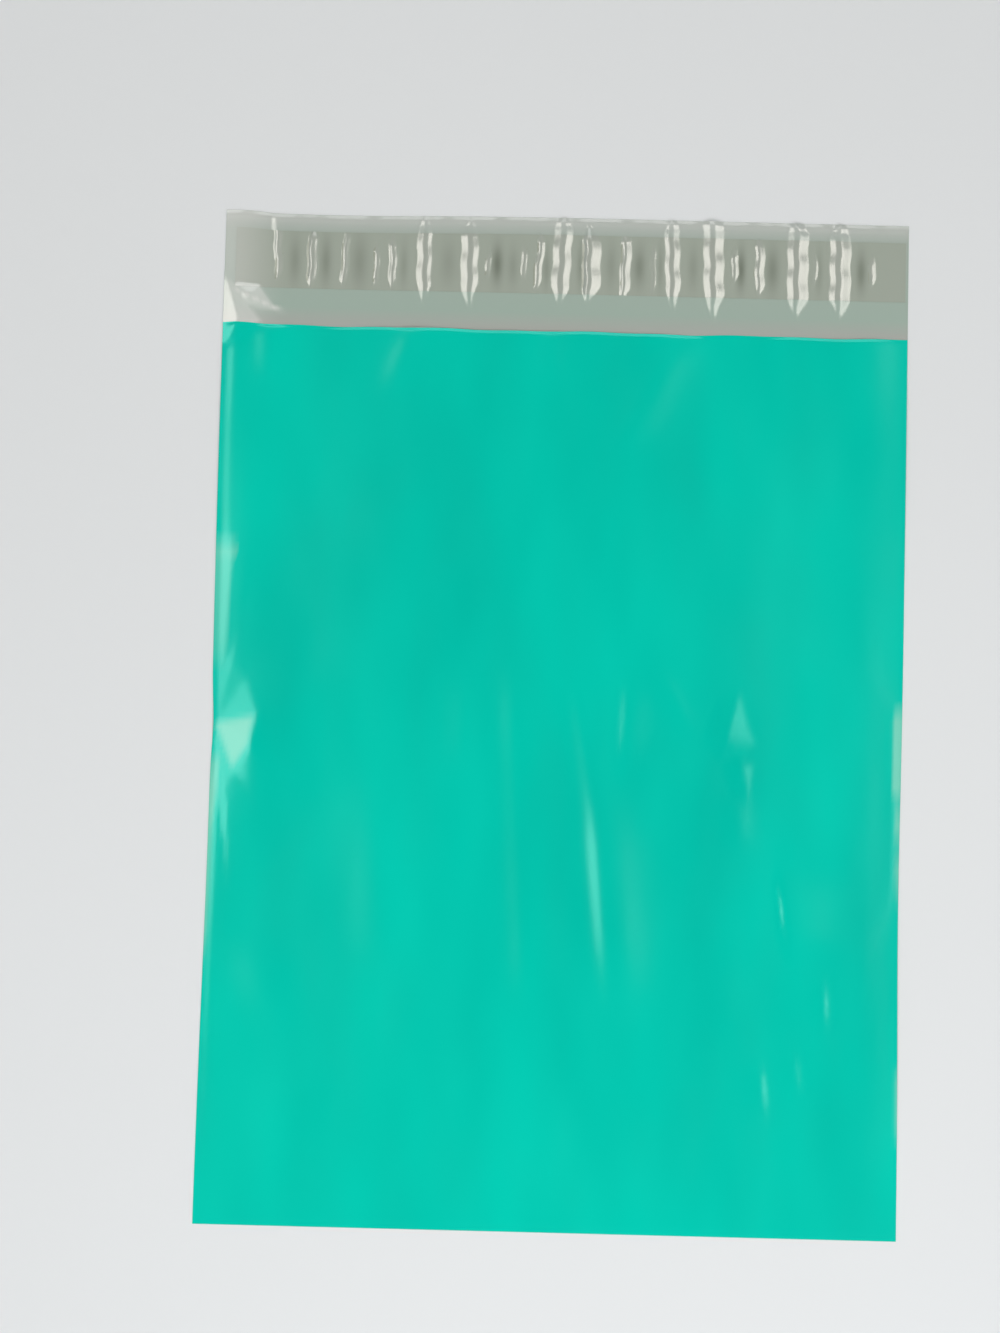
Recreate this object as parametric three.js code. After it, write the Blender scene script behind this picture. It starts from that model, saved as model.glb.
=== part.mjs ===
// Poly mailer bag, empty and lying on its back panel. One sheet of film is folded up into a
// pouch and heat sealed down both sides, and the back panel runs on past the mouth as a flap,
// which carries a band of glue under a peel-off liner.
// Millimetres, +Z up. The origin is on the underside, at the middle of the bag.
import * as THREE from "three";
import { mergeVertices } from "three/addons/utils/BufferGeometryUtils.js";

// Driving dimensions
const BAG_WIDTH = 254;
const POUCH_LENGTH = 330; // bottom fold to the mouth edge of the front panel
const FLAP_LENGTH = 43; // mouth edge to the free edge of the flap
const FILM = 0.06; // thickness of the film
const SEAL_WIDTH = 1; // heat seal down each side
const FOLD_WIDTH = 2; // pressed crease along the bottom, where the two panels touch
const LINER_SETBACK = 6.5; // free edge of the flap to the liner
const LINER_WIDTH = 22;
const LINER_THICKNESS = 0.05;
const GLUE_MARGIN = 3; // liner showing past the glue along each long side
const GLUE_THICKNESS = 0.04;
const LEFT_GAP = 4; // liner and glue stop this short of the left side cut
const RIGHT_GAP = 1; // and this short of the right one
const SEAT_GAP = 0.02; // between layers that lie on each other

// How the film lies
const SIDE_LOFT = 0.45; // height that the front panel gains in a short roll beside each seal
const SIDE_ROLL = 4.5; // width of that roll
const LOFT = 1.4; // air that the middle of the pouch has on top of that
const LOFT_SLOPE = 95; // width over which it builds up from each side
const FOLD_ROLL = 55; // length over which the front panel rises from the fold
const MOUTH_FADE = 70; // length over which it comes down again towards the mouth
const MOUTH_SHARE = 0.15; // share of the loft that is left at the mouth
const EDGE_SLOPE = 0.2; // steepest that the front panel rises from a seal
const CURL_REACH = 29; // width over which a curled side edge comes back to the table
const CREST = 0.14; // share of a ripple's width that is flat on top

// Size of the facets
const PANEL_COLUMN = 6;
const PANEL_ROW = 20;
const DENT_CLEARANCE = 5; // from a plain row to a row through a corner of the dent
const ROLL_COLUMNS = 2; // across the roll beside each seal
const FLAP_FOOT = 8; // mouth to the first row of the flap, where its ripples start
const GLUE_ROWS = 2; // up the glue band
const THINNEST = 0.35; // narrowest column of the flap

// Places below are measured from the left edge and up from the bottom fold.
const MOUTH = POUCH_LENGTH;
const FREE_EDGE = POUCH_LENGTH + FLAP_LENGTH;
const LINER_TOP = FREE_EDGE - LINER_SETBACK;
const LINER_BOTTOM = LINER_TOP - LINER_WIDTH;
const GLUE_TOP = LINER_TOP - GLUE_MARGIN;
const GLUE_BOTTOM = LINER_BOTTOM + GLUE_MARGIN;

// Wrinkles of the front panel: a rounded ridge along a line, with its half width and height.
const WRINKLES = [
  { from: [111, 200], to: [118, 84], half: 6, height: 0.6 },
  { from: [131, 196], to: [148, 82], half: 7, height: 1.2 },
  { from: [152, 196], to: [151, 174], half: 5, height: 0.5 },
  { from: [94, 196], to: [94, 168], half: 5, height: 0.4 },
  { from: [62, 170], to: [66, 95], half: 9, height: 0.5 },
  { from: [164, 208], to: [176, 184], half: 5, height: 0.4 },
  { from: [166, MOUTH - 6], to: [150, MOUTH - 42], half: 7, height: 0.7 },
  { from: [70, MOUTH], to: [64, MOUTH - 20], half: 6, height: 0.6 },
  { from: [122, MOUTH], to: [121, MOUTH - 17], half: 5, height: 0.5 },
  { from: [17, MOUTH], to: [17, MOUTH - 17], half: 5, height: 0.5 },
  { from: [BAG_WIDTH - 60, 190], to: [BAG_WIDTH - 64, 180], half: 6, height: 1 },
  { from: [BAG_WIDTH - 59, 171], to: [BAG_WIDTH - 57, 158], half: 4, height: 0.6 },
  { from: [BAG_WIDTH - 44, 127], to: [BAG_WIDTH - 38, 104], half: 4, height: 0.5 },
  { from: [BAG_WIDTH - 50, 60], to: [BAG_WIDTH - 48, 42], half: 5, height: 0.4 },
  { from: [20, 98], to: [26, 76], half: 8, height: 0.5 },
];

// Ripples that run up the flap: distance of the crest from the left edge, width of the left
// and right flank, ends above the mouth, and height.
const RIPPLES = [
  { at: 19, left: 1.2, right: 2.3, bottom: 12, top: 43, height: 0.45 },
  { at: 32, left: 1.4, right: 2.9, bottom: 12, top: 41, height: 0.55 },
  { at: 44.5, left: 1.2, right: 2, bottom: 12, top: 41, height: 0.4 },
  { at: 62, left: 1.2, right: 2.4, bottom: 12, top: 40, height: 0.45 },
  { at: 74, left: 3.4, right: 3.4, bottom: 6, top: 45, height: 0.6 },
  { at: 91, left: 3.7, right: 3.6, bottom: 7, top: 43, height: 0.65 },
  { at: 116.5, left: 1.4, right: 2.2, bottom: 12, top: 41, height: 0.35 },
  { at: 125, left: 4.1, right: 4.1, bottom: 7, top: 43, height: 0.75 },
  { at: 135, left: 1.6, right: 5.6, bottom: 8, top: 42, height: 1 },
  { at: 148, left: 1.4, right: 3, bottom: 9, top: 41, height: 0.45 },
  { at: 166, left: 3.2, right: 3.3, bottom: 6, top: 46, height: 0.6 },
  { at: 181, left: 4, right: 4.4, bottom: 5, top: 54, height: 0.8 },
  { at: 198, left: 1.4, right: 2.5, bottom: 12, top: 41, height: 0.35 },
  { at: 212.5, left: 4, right: 4.6, bottom: 5, top: 47, height: 0.85 },
  { at: 228, left: 4, right: 4.6, bottom: 5, top: 45, height: 0.85 },
  { at: 240, left: 1.4, right: 1.7, bottom: 14, top: 38, height: 0.25 },
];

// A dent in the front panel at the left edge. Its facets fan out from a point on the table to
// the corners of a rim, given with their heights, and the rim falls away over a skirt.
const DENT = {
  point: [2.4, 181.5],
  rim: [
    [5, 158.5, 0.6],
    [10.5, 164.5, 1.2],
    [15.6, 172.5, 2.6],
    [18, 186, 1.5],
    [12.6, 198, 0.8],
    [7, 206, 0.5],
  ],
};
const DENT_SKIRT = 2; // width of the skirt, as a share of the rim's

// A crumple at the left end of the mouth, a peak whose facets run down to a rim.
const CRUMPLE = {
  point: [4.6, MOUTH + 8.5],
  rim: [
    [20.5, MOUTH + 6, 0],
    [12.5, MOUTH + 17.3, 0],
    [-0.5, MOUTH + 19, 0],
    [-0.5, MOUTH - 8, 0],
    [10, MOUTH - 6, 0],
    [16, MOUTH + 0.5, 0],
    [20.5, MOUTH + 6, 0],
  ],
};
const CRUMPLE_HEIGHT = 0.95;

// Places where a side edge curls up: the side, the height up the bag, half length and lift.
const CURLS = [
  { left: true, at: 290, half: 40, lift: 0.4 },
  { left: false, at: 80, half: 45, lift: 0.5 },
  { left: false, at: 290, half: 35, lift: 0.5 },
];

// Places where a side bows inwards: the side, the height up the bag, half length and depth.
const BOWS = [
  { left: true, at: 150, half: 85, depth: 0.9 },
  { left: true, at: DENT.point[1], half: 12, depth: 0.7 },
  { left: false, at: 115, half: 60, depth: 0.8 },
];

// The dip of the free edge beside its left corner: where it is deepest, half width and depth.
const EDGE_DIP = { at: 30, half: 50, depth: 1.2 };

// 0 at the start and 1 at the end of a smooth rise.
const rise = (t) => THREE.MathUtils.smoothstep(t, 0, 1);

// 1 at the middle of a rounded hump, falling to 0 either side.
const hump = (t) => Math.exp(-t * t);

// Distance from a point to the line between two points.
function distanceToLine(x, y, [x0, y0], [x1, y1]) {
  const line = new THREE.Line3(new THREE.Vector3(x0, y0), new THREE.Vector3(x1, y1));
  const point = new THREE.Vector3(x, y);
  return line.closestPointToPoint(point, true, new THREE.Vector3()).distanceTo(point);
}

// Sum over places along the side edges of a hump up the bag, in from its own side.
function alongSides(places, x, y, amount) {
  return places.reduce((sum, place) => {
    const inFromEdge = place.left ? x : BAG_WIDTH - x;
    return sum + amount(place, inFromEdge) * hump((y - place.at) / place.half);
  }, 0);
}

// Lift of the film off the table where a side edge curls up.
const edgeCurl = (x, y) =>
  alongSides(CURLS, x, y, ({ lift }, inFromEdge) => lift * rise(1 - inFromEdge / CURL_REACH));

// Place across the table: the sides bow inwards.
const acrossTable = (x, y) =>
  x +
  alongSides(BOWS, x, y, ({ left, depth }, inFromEdge) => {
    const inwards = left ? depth : -depth;
    return inwards * (1 - inFromEdge / BAG_WIDTH);
  });

// Place up the table: the free edge of the flap dips beside its corner.
function upTable(x, y) {
  const { at, half, depth } = EDGE_DIP;
  const dip = depth * rise(x / at) * hump(Math.max(0, x - at) / half);
  return y - dip * rise((y - MOUTH) / FLAP_LENGTH);
}

// Height of a ripple: a flat crest between two straight flanks, lower towards its ends.
function rippleHeight({ at, left, right, bottom, top, height }, x, aboveMouth) {
  const along = (2 * aboveMouth - bottom - top) / (top - bottom);
  const taper = Math.sqrt(Math.max(0, 1 - along ** 4));
  const half = x < at ? left : right;
  const down = (Math.abs(x - at) / half - CREST) / (1 - CREST);
  return height * taper * THREE.MathUtils.clamp(1 - down, 0, 1);
}

// Where a place is in a fan of facets: how far out to the rim, and how high the rim is there.
function inFan({ point, rim }, x, y) {
  const from = ([px, py]) => new THREE.Vector2(px - point[0], py - point[1]);
  const place = from([x, y]);
  for (let i = 0; i < rim.length - 1; i += 1) {
    const first = from(rim[i]);
    const second = from(rim[i + 1]);
    const turn = first.cross(second);
    const toFirst = place.cross(second) / turn;
    const toSecond = first.cross(place) / turn;
    if (toFirst >= 0 && toSecond >= 0) {
      const reach = toFirst + toSecond;
      const height = reach > 0 ? (toFirst * rim[i][2] + toSecond * rim[i + 1][2]) / reach : 0;
      return { reach, height };
    }
  }
  return { reach: Infinity, height: 0 };
}

// Underside of the back panel and the flap.
function underside(x, y) {
  const crumple = CRUMPLE_HEIGHT * Math.max(0, 1 - inFan(CRUMPLE, x, y).reach);
  const ripples = RIPPLES.map((ripple) => rippleHeight(ripple, x, y - MOUTH));
  return edgeCurl(x, y) + Math.max(crumple, ...ripples);
}

// Upper face of the same film: the inside of the pouch, and the face of the flap.
const insideBack = (x, y) => underside(x, y) + FILM;

// Air between the two panels: none at the seals and the fold, most in the middle.
function airGap(x, y) {
  const inFromSeal = Math.max(0, Math.min(x, BAG_WIDTH - x) - SEAL_WIDTH);
  const mouth = THREE.MathUtils.lerp(MOUTH_SHARE, 1, rise((MOUTH - y) / MOUTH_FADE));
  const loft = LOFT * rise(inFromSeal / LOFT_SLOPE) * mouth;
  const roll = rise(inFromSeal / SIDE_ROLL);
  const wrinkles = WRINKLES.reduce(
    (sum, { from, to, half, height }) =>
      sum + height * hump(distanceToLine(x, y, from, to) / half),
    0,
  );
  const lies = (loft + (SIDE_LOFT + wrinkles) * roll) * rise((y - FOLD_WIDTH) / FOLD_ROLL);
  const { reach, height } = inFan(DENT, x, y);
  const hold = 1 - rise((reach - 1) / DENT_SKIRT);
  const pressed = THREE.MathUtils.lerp(lies, height * Math.min(reach, 1), hold);
  return Math.min(pressed, EDGE_SLOPE * inFromSeal);
}

// Inner and outer face of the front panel.
const insideFront = (x, y) => insideBack(x, y) + airGap(x, y);
const outsideFront = (x, y) => insideFront(x, y) + FILM;

// Numbers from start to end, in equal steps of about the given size.
function steps(start, end, size) {
  const count = Math.max(1, Math.round((end - start) / size));
  return Array.from({ length: count + 1 }, (_, i) => start + ((end - start) * i) / count);
}

// Columns across the bag that are the same on both sides of its middle.
const mirrored = (left, middle) => [...left, ...middle, ...left.map((x) => BAG_WIDTH - x).reverse()];

// A row of points across the bag at one height up it, on one face of the film.
const row = (xs, y, face) => xs.map((x) => new THREE.Vector3(x, y, face(x, y)));

// Fills between two rows that run the same way, whatever the number of points in each.
function stitch(triangles, lower, upper) {
  let i = 0;
  let j = 0;
  while (i < lower.length - 1 || j < upper.length - 1) {
    const lowerNext = lower[i + 1]?.x ?? Infinity;
    const upperNext = upper[j + 1]?.x ?? Infinity;
    if (lowerNext <= upperNext) {
      triangles.push([lower[i], lower[i + 1], upper[j]]);
      i += 1;
    } else {
      triangles.push([lower[i], upper[j + 1], upper[j]]);
      j += 1;
    }
  }
}

// A face made of rows going up the bag. It faces up, or down where facing is -1.
function skin(rows, facing = 1) {
  const triangles = [];
  rows.slice(1).forEach((upper, i) => stitch(triangles, rows[i], upper));
  return facing > 0 ? triangles : triangles.map(([a, b, c]) => [a, c, b]);
}

// An edge face between two lines with as many points as each other.
function wall(lower, upper, facing = 1) {
  const triangles = lower.slice(1).flatMap((next, i) => [
    [lower[i], next, upper[i + 1]],
    [lower[i], upper[i + 1], upper[i]],
  ]);
  return facing > 0 ? triangles : triangles.map(([a, b, c]) => [a, c, b]);
}

// Geometry of a closed body from its faces.
function closed(...faces) {
  const corners = faces.flat(2).flatMap(({ x, y, z }) => [acrossTable(x, y), upTable(x, y), z]);
  const geometry = new THREE.BufferGeometry();
  geometry.setAttribute("position", new THREE.Float32BufferAttribute(corners, 3));
  const merged = mergeVertices(geometry);
  merged.computeVertexNormals();
  return merged;
}

// The line up one side of a set of rows.
const sideLine = (rows, end) => rows.map((points) => points.at(end));

const rollEnd = SEAL_WIDTH + SIDE_ROLL;
const dentXs = DENT.rim.map(([x]) => x).filter((x) => x > rollEnd);
const rollXs = steps(SEAL_WIDTH, rollEnd, SIDE_ROLL / ROLL_COLUMNS);
const edgeXs = [0, ...rollXs, ...dentXs, CURL_REACH].sort((a, b) => a - b);
const middleXs = steps(CURL_REACH, BAG_WIDTH - CURL_REACH, PANEL_COLUMN).slice(1, -1);
const panelXs = mirrored(edgeXs, middleXs);
const backXs = mirrored([0, SEAL_WIDTH, CURL_REACH], []);

// Columns of the flap: the foot and crest of each ripple, and the corners of the crumple.
const rippleXs = RIPPLES.flatMap(({ at, left, right }) => [
  at - left,
  at - CREST * left,
  at + CREST * right,
  at + right,
]);
const crumpleXs = [CRUMPLE.point, ...CRUMPLE.rim].map(([x]) => x);
const flapXs = [...crumpleXs, ...rippleXs]
  .filter((x) => x > 0 && x < BAG_WIDTH - THINNEST)
  .sort((a, b) => a - b)
  .reduce((kept, x) => (x - kept.at(-1) < THINNEST ? kept : [...kept, x]), [0])
  .concat(BAG_WIDTH);

const dentYs = [DENT.point, ...DENT.rim].map(([, y]) => y);
const clearOfDent = (y) => dentYs.every((dentY) => Math.abs(dentY - y) > DENT_CLEARANCE);
const panelYs = steps(FOLD_WIDTH, MOUTH, PANEL_ROW).filter(clearOfDent);
const pouchYs = [0, ...dentYs, ...panelYs].sort((a, b) => a - b);
const glueYs = steps(GLUE_BOTTOM, GLUE_TOP, (GLUE_TOP - GLUE_BOTTOM) / GLUE_ROWS);
const linerYs = [LINER_BOTTOM, ...glueYs, LINER_TOP];
const flapYs = [MOUTH + FLAP_FOOT, ...linerYs, FREE_EDGE];

// The folded film: the back panel with its flap, and the front panel with the pouch between.
function bagFilm() {
  const insideXs = (xs) => xs.slice(1, -1);
  const isPouchEnd = (y) => y === 0 || y === MOUTH;
  const isCavityEnd = (y) => y === FOLD_WIDTH || y === MOUTH;
  const cavityYs = pouchYs.slice(1);

  const flapRows = (face) => flapYs.map((y) => row(flapXs, y, face));
  const pouchUnder = pouchYs.map((y) => row(isPouchEnd(y) ? panelXs : backXs, y, underside));
  const under = [...pouchUnder, ...flapRows(underside)];
  const flapFace = [row(panelXs, MOUTH, insideBack), ...flapRows(insideBack)];
  const back = cavityYs.map((y) =>
    row(insideXs(isCavityEnd(y) ? panelXs : backXs), y, insideBack),
  );
  const frontInside = cavityYs.map((y) => row(insideXs(panelXs), y, insideFront));
  const front = pouchYs.map((y) => row(panelXs, y, outsideFront));

  // The weld line half way up the cut edge of each seal, and along the fold.
  const weld = [...pouchYs, ...flapYs].map((y) => row([0, BAG_WIDTH], y, insideBack));
  const foldLine = row(panelXs, 0, insideBack);
  const mouthLine = [flapFace[0][0], ...frontInside.at(-1), flapFace[0].at(-1)];

  const sideWalls = [0, -1].flatMap((end) => {
    const facing = end === 0 ? -1 : 1;
    const weldLine = sideLine(weld, end);
    const backEdge = wall(sideLine(under, end), weldLine, facing);
    const frontEdge = wall(weldLine.slice(0, pouchYs.length), sideLine(front, end), facing);
    return [...backEdge, ...frontEdge];
  });

  return closed(
    skin(under, -1),
    skin(back),
    skin(frontInside, -1),
    skin(front),
    skin(flapFace),
    wall(under[0], foldLine),
    wall(foldLine, front[0]),
    wall(mouthLine, front.at(-1), -1),
    wall(under.at(-1), flapFace.at(-1), -1),
    sideWalls,
  );
}

// A strip laid on the flap, from one height above its face to another.
function flapStrip(ys, lowest, highest) {
  const start = LEFT_GAP;
  const end = BAG_WIDTH - RIGHT_GAP;
  const between = flapXs.filter((x) => x > start + THINNEST && x < end - THINNEST);
  const xs = [start, ...between, end];
  const rows = (above) => ys.map((y) => row(xs, y, (x) => insideBack(x, y) + above));
  const bottom = rows(lowest);
  const top = rows(highest);
  return closed(
    skin(bottom, -1),
    skin(top),
    wall(bottom[0], top[0]),
    wall(bottom.at(-1), top.at(-1), -1),
    wall(sideLine(bottom, 0), sideLine(top, 0), -1),
    wall(sideLine(bottom, -1), sideLine(top, -1)),
  );
}

const GLUE_SEAT = SEAT_GAP;
const LINER_SEAT = GLUE_SEAT + GLUE_THICKNESS + SEAT_GAP;

const tealFilm = new THREE.MeshStandardMaterial({ color: 0x00c4ad, roughness: 0.3 });
const clearGlue = new THREE.MeshStandardMaterial({ color: 0xb4b8a4, roughness: 0.2 });
const linerFilm = new THREE.MeshStandardMaterial({ color: 0xa6b0a2, roughness: 0.22 });

// A named sub-part of the bag.
function piece(name, geometry, material) {
  const mesh = new THREE.Mesh(geometry, material);
  mesh.name = name;
  return mesh;
}

const bag = new THREE.Group();
bag.position.set(-BAG_WIDTH / 2, -FREE_EDGE / 2, 0);
bag.add(
  piece("bag_film", bagFilm(), tealFilm),
  piece("glue_band", flapStrip(glueYs, GLUE_SEAT, GLUE_SEAT + GLUE_THICKNESS), clearGlue),
  piece("release_liner", flapStrip(linerYs, LINER_SEAT, LINER_SEAT + LINER_THICKNESS), linerFilm),
);

const part = new THREE.Group();
part.add(bag);

export default part;
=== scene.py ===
"""Looks of an empty poly mailer bag that lies on its back panel with its flap open.

One sheet of film is folded up along the bottom, sealed down both sides and left open at the
mouth. The back panel runs on past the mouth as a flap, with a band of glue under a rippled
release liner. Shapes are worked out in millimetres, x in from the left edge and y up from the
bottom fold, and go into the meshes in metres, in the part's own frame.
"""

from __future__ import annotations

import logging
import math
from dataclasses import dataclass
from enum import Enum

import bpy
import numpy as np
from mathutils import Euler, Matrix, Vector
from numpy.typing import NDArray

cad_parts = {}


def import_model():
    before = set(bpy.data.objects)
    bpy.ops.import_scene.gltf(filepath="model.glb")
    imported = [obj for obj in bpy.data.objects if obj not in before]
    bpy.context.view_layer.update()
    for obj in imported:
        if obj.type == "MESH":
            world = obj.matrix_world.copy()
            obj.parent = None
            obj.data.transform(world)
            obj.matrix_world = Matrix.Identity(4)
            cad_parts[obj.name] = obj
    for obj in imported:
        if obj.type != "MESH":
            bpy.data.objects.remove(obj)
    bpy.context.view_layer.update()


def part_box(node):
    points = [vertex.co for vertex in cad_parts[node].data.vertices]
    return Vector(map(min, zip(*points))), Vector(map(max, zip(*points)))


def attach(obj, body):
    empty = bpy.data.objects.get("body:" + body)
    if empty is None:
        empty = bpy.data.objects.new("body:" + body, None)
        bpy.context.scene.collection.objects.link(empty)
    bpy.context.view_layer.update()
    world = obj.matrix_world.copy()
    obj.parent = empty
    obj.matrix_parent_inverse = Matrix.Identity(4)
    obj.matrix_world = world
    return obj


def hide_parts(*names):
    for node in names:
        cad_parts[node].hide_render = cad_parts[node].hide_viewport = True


LOG = logging.getLogger("poly_mailer")

Array = NDArray[np.float64]
Point = tuple[float, float]
Spot = tuple[float, float, float]
Colour = tuple[float, float, float]

MM = 0.001
BODY = "root"
POUCH = 330.0  # bottom fold to the mouth edge
CUT_ANGLE = 50.0  # degrees from which an edge of a thick sheet is a cut one
OFFBEAT = 2.3  # turns of a second wave in one of the first, so that the two never line up
OFFSET = 1.0  # how far ahead the second wave starts


class Side(Enum):
    """The two sealed sides of the bag, as seen from above."""

    LEFT = "left"
    RIGHT = "right"


class Layer(Enum):
    """The two faces of the film, by the material slot that each has on the bag's mesh."""

    OUTSIDE = 0
    INSIDE = 1


def rise(t: Array) -> Array:
    """A smooth step: 0 up to t = 0, 1 from t = 1, and 3t^2 - 2t^3 between.

    Args:
        t: How far along the step each point is.

    Returns:
        The step's height at each point.
    """
    t = np.clip(t, 0.0, 1.0)
    return t * t * (3.0 - 2.0 * t)


def bell(t: Array) -> Array:
    """A rounded hump, e to the power of minus t squared.

    Args:
        t: Distance from the middle, in half widths.

    Returns:
        The hump's height at each point, 1 in the middle.
    """
    return np.exp(-t * t)


def ramp(t: Array, ease: float) -> Array:
    """A straight slope from 0 at t = 0 to 1 at t = 1, with both ends rounded off.

    Args:
        t: How far along the slope each point is.
        ease: Share of the run that each rounded end takes.

    Returns:
        The slope's height at each point.
    """
    t = np.clip(t, 0.0, 1.0)
    curve = 0.5 / (ease * (1.0 - ease))
    straight = (t - ease / 2.0) / (1.0 - ease)
    upper = np.where(t > 1.0 - ease, 1.0 - curve * (1.0 - t) ** 2, straight)
    return np.where(t < ease, curve * t * t, upper)


@dataclass(frozen=True)
class Wrinkle:
    """A soft ridge in the front panel.

    Attributes:
        line: Points on the crest, from the top down.
        left: Half width of the left flank.
        right: Half width of the right flank.
        height: Height of the crest.
        fade: Length over which each end dies away.
    """

    line: tuple[Point, ...]
    left: float
    right: float
    height: float
    fade: float = 14.0

    def height_at(self, x: Array, y: Array) -> Array:
        """A bell across the crest line, with each flank's own width, faded at both ends.

        Args:
            x: Distance in from the left edge.
            y: Distance up from the bottom fold.

        Returns:
            The ridge's height at each point.
        """
        xs, ys = np.array(self.line[::-1]).T
        offset = x - np.interp(y, ys, xs)
        across = bell(offset / np.where(offset < 0.0, self.left, self.right))
        lower_end = rise((y - ys[0]) / self.fade + 0.5)
        upper_end = rise((ys[-1] - y) / self.fade + 0.5)
        return self.height * across * lower_end * upper_end


@dataclass(frozen=True)
class Swell:
    """A slow wave in the front panel.

    Attributes:
        across: Wavelength across the bag.
        along: Wavelength up the bag.
        phase: Where the wave starts, as a share of a turn.
        height: Half the wave's height.
    """

    across: float
    along: float
    phase: float
    height: float

    def height_at(self, x: Array, y: Array) -> Array:
        """A sine whose angle grows with x over one wavelength and y over the other.

        Args:
            x: Distance in from the left edge.
            y: Distance up from the bottom fold.

        Returns:
            The wave's height at each point.
        """
        turns = x / self.across + y / self.along + self.phase
        return self.height * np.sin(2.0 * np.pi * turns)


@dataclass(frozen=True)
class Facets:
    """A crumple whose flat facets fan out from one point to the corners of a rim.

    Attributes:
        point: The point, with its height.
        rim: Corners of the rim, anticlockwise, with their heights.
        closed: Whether the fan goes all the way round.
    """

    point: Spot
    rim: tuple[Spot, ...]
    closed: bool = True

    def fan(self, x: Array, y: Array) -> tuple[Array, Array]:
        """How far out each place is, and how high the rim is in that direction.

        Two neighbouring corners of the rim span a facet. A place in it is so much of the way
        to the one plus so much of the way to the other, and the sum of both is its reach.

        Args:
            x: Distance in from the left edge.
            y: Distance up from the bottom fold.

        Returns:
            The reach, 0 at the point, 1 on the rim and endless beside an open fan, and the
            height of the rim.
        """
        dx, dy = x - self.point[0], y - self.point[1]
        reach, rim = np.full(x.shape, np.inf), np.zeros(x.shape)
        corners = np.array(self.rim) - (*self.point[:2], 0.0)
        ends = np.roll(corners, -1, axis=0)
        pairs = list(zip(corners, ends))
        for (ax, ay, az), (bx, by, bz) in pairs if self.closed else pairs[:-1]:
            turn = ax * by - ay * bx
            to_first = (dx * by - dy * bx) / turn
            to_second = (ax * dy - ay * dx) / turn
            spanned = (to_first >= 0.0) & (to_second >= 0.0)
            total = np.maximum(to_first + to_second, 1e-9)
            reach = np.where(spanned, total, reach)
            rim = np.where(spanned, (to_first * az + to_second * bz) / total, rim)
        return reach, rim

    def peak(self, x: Array, y: Array) -> Array:
        """A pyramid: the point's height where the reach is 0, falling to 0 on the rim."""
        return self.point[2] * np.clip(1.0 - self.fan(x, y)[0], 0.0, 1.0)

    def press(self, surface: Array, x: Array, y: Array, skirt: float) -> Array:
        """Presses the fan into a surface, from the point on the table up to the rim.

        Inside the rim the height is the rim's times the reach. Outside it the rim falls back
        to the surface, smoothly, over a skirt.

        Args:
            surface: Height of the surface at each point.
            x: Distance in from the left edge.
            y: Distance up from the bottom fold.
            skirt: Width of the skirt, as a share of the rim's.

        Returns:
            The new height at each point.
        """
        reach, rim = self.fan(x, y)
        hold = 1.0 - rise((reach - 1.0) / skirt)
        return surface + hold * (rim * np.minimum(reach, 1.0) - surface)


@dataclass(frozen=True)
class Ripple:
    """A tunnel that runs up the flap, where the liner and the flap have puckered.

    Attributes:
        at: Distance of its crest from the left edge.
        left: Half width of the left flank.
        right: Half width of the right flank.
        bottom: Where it starts above the mouth.
        top: Where it ends above the mouth.
        lean: How far each end is off to the side, the top to the right.
        steep: Slope of the wider flank.
        foot: Length over which it opens out from its lower end.
        head: Length over which it closes to its upper end.
    """

    at: float
    left: float
    right: float
    bottom: float
    top: float
    lean: float = 0.0
    steep: float = 0.25
    foot: float = 5.0
    head: float = 5.0

    CREST = 0.14
    EASE = 0.16
    NARROWEST = 0.12
    WANDER = 0.22
    WANDER_LENGTH = 11.0

    @property
    def height(self) -> float:
        """Height of the crest, from the slope of the wider flank and its run."""
        run = max(self.left, self.right) * (1.0 - self.CREST)
        return self.steep * run * (1.0 - self.EASE)

    def height_at(self, x: Array, above_mouth: Array) -> Array:
        """A flat crest between two straight, rounded flanks, in a tunnel that tapers.

        The taper grows evenly from each end over the foot and the head. Width and height both
        follow it, so the flanks keep their slope and meet in a point. The crest wanders to
        either side in a slow sine on its way up.

        Args:
            x: Distance in from the left edge.
            above_mouth: Distance up from the mouth.

        Returns:
            The tunnel's height at each point.
        """
        middle = (self.bottom + self.top) / 2.0
        along = (above_mouth - middle) / (self.top - middle)
        opens, closes = (above_mouth - self.bottom) / self.foot, (self.top - above_mouth) / self.head
        taper = np.clip(np.minimum(opens, closes), 0.0, 1.0)
        wander = self.WANDER * np.sin(2.0 * np.pi * above_mouth / self.WANDER_LENGTH + self.at)
        offset = x - self.at - self.lean * along - wander
        width = np.where(offset < 0.0, self.left, self.right) * np.maximum(taper, self.NARROWEST)
        across = (np.abs(offset) / width - self.CREST) / (1.0 - self.CREST)
        return self.height * taper * (1.0 - ramp(across, self.EASE))


@dataclass(frozen=True)
class Curl:
    """A stretch of a side edge that lifts off the table.

    Attributes:
        side: Which edge.
        at: Middle of the stretch, up from the bottom fold.
        half: Half its length.
        lift: How far the edge lifts.
    """

    side: Side
    at: float
    half: float
    lift: float


@dataclass(frozen=True)
class Bow:
    """A stretch of a side that bows inwards.

    Attributes:
        side: The side that it is on.
        at: How far up its middle is.
        half: Half its length.
        depth: How far in it goes.
    """

    side: Side
    at: float
    half: float
    depth: float


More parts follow.
